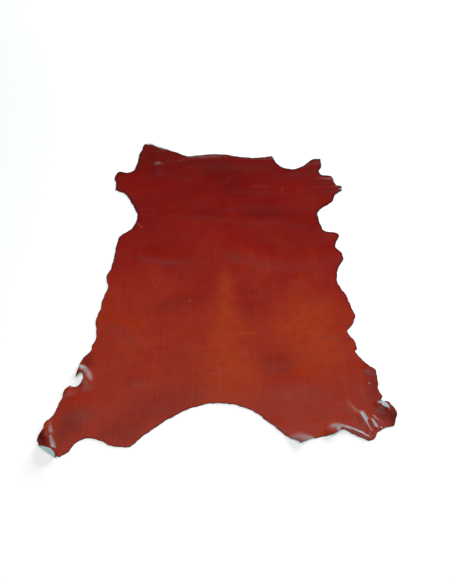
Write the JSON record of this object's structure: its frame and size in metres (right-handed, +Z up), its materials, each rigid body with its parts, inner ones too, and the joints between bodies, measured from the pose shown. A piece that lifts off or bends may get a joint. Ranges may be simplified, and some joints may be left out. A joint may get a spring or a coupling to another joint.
{
  "type": "leather hide",
  "caption": "Whole goat-size leather hide laid out flat, glazed grain side up, with an uneven cut edge, low ripples and curled shank ends.",
  "frame": {"origin": "on the floor under the middle of the hide's outline", "axes": "+Y from the rump to the neck, +X to the right seen from the rump, +Z up out of the grain side"},
  "size_m": [0.7864, 1.0556, 0.0231],
  "materials": {
    "leather": "glazed aniline grain, oxblood red running to brick orange along the backbone and rump"
  },
  "bodies": {
    "root": {"hide": "leather"}
  },
  "joints": []
}
